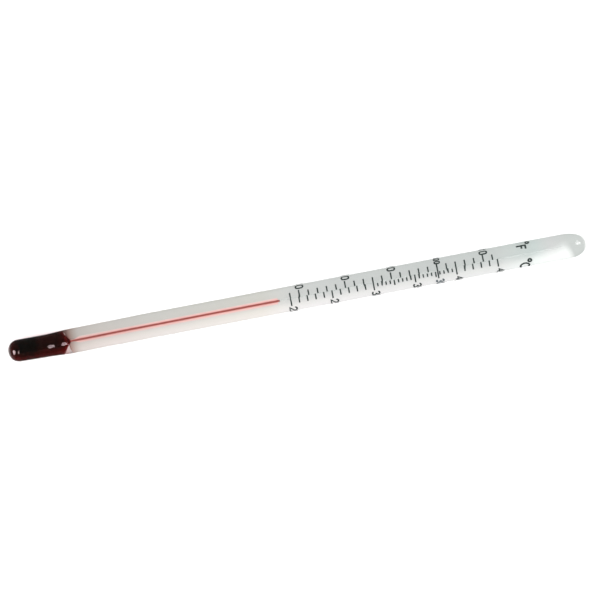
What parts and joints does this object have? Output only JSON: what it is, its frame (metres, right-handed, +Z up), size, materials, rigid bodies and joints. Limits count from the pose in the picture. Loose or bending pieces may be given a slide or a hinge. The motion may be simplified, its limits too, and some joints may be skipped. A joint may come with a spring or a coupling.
{
  "type": "solid-stem spirit thermometer",
  "caption": "Short glass rod thermometer with a blown bulb, white enamel back, red spirit thread and a printed dual Fahrenheit and Celsius scale.",
  "frame": {"origin": "middle of the length and width, on the flat that the stem lies on", "axes": "+X along the stem from the bulb to the sealed tip, +Z straight up out of the printed scale, -Y towards the Celsius side"},
  "size_m": [0.15, 0.0066, 0.0066],
  "materials": {
    "clear_glass": "polished",
    "white_enamel": "gloss",
    "red_spirit": "gloss",
    "fired_ink": "satin"
  },
  "bodies": {
    "thermometer": {"bulb_glass": "clear_glass", "stem_glass": "clear_glass", "enamel_backing": "white_enamel", "spirit_reservoir": "red_spirit", "line_100f_body_heat": "fired_ink", "line_102f_39c": "fired_ink", "line_104f_40c": "fired_ink", "line_106f_41c": "fired_ink", "line_108f": "fired_ink", "line_110f": "fired_ink", "line_112f": "fired_ink", "line_22c": "fired_ink", "line_23c": "fired_ink", "line_24c": "fired_ink", "line_25c": "fired_ink", "line_26c": "fired_ink", "line_27c": "fired_ink", "line_28c": "fired_ink", "line_30_5c": "fired_ink", "line_31_5c": "fired_ink", "line_32_5c": "fired_ink", "line_32c": "fired_ink", "line_33_5c": "fired_ink", "line_33c": "fired_ink", "line_34c": "fired_ink", "line_35c": "fired_ink", "line_36_5c": "fired_ink", "line_36c": "fired_ink", "line_37_5c": "fired_ink", "line_37c": "fired_ink", "line_38_5c": "fired_ink", "line_38c": "fired_ink", "line_39_5c": "fired_ink", "line_42c": "fired_ink", "line_43c": "fired_ink", "line_44c": "fired_ink", "line_45c": "fired_ink", "line_68f_20c": "fired_ink", "line_70f_21c": "fired_ink", "line_72f": "fired_ink", "line_74f": "fired_ink", "line_76f": "fired_ink", "line_78f": "fired_ink", "line_80f": "fired_ink", "line_82f": "fired_ink", "line_84f_29c": "fired_ink", "line_86f_30c": "fired_ink", "line_88f_31c": "fired_ink", "line_90f": "fired_ink", "line_92f": "fired_ink", "line_94f_34_5c": "fired_ink", "line_96f_35_5c": "fired_ink", "line_98f": "fired_ink"},
    "spirit_column": {"spirit_thread": "red_spirit", "spirit_meniscus": "red_spirit"}
  },
  "joints": [
    {"name": "spirit_rise", "type": "slide", "parent": "thermometer", "child": "spirit_column", "axis": [1, 0, 0], "range_m": [-0.0535, 0.0563], "deforming": ["spirit_thread"]}
  ]
}
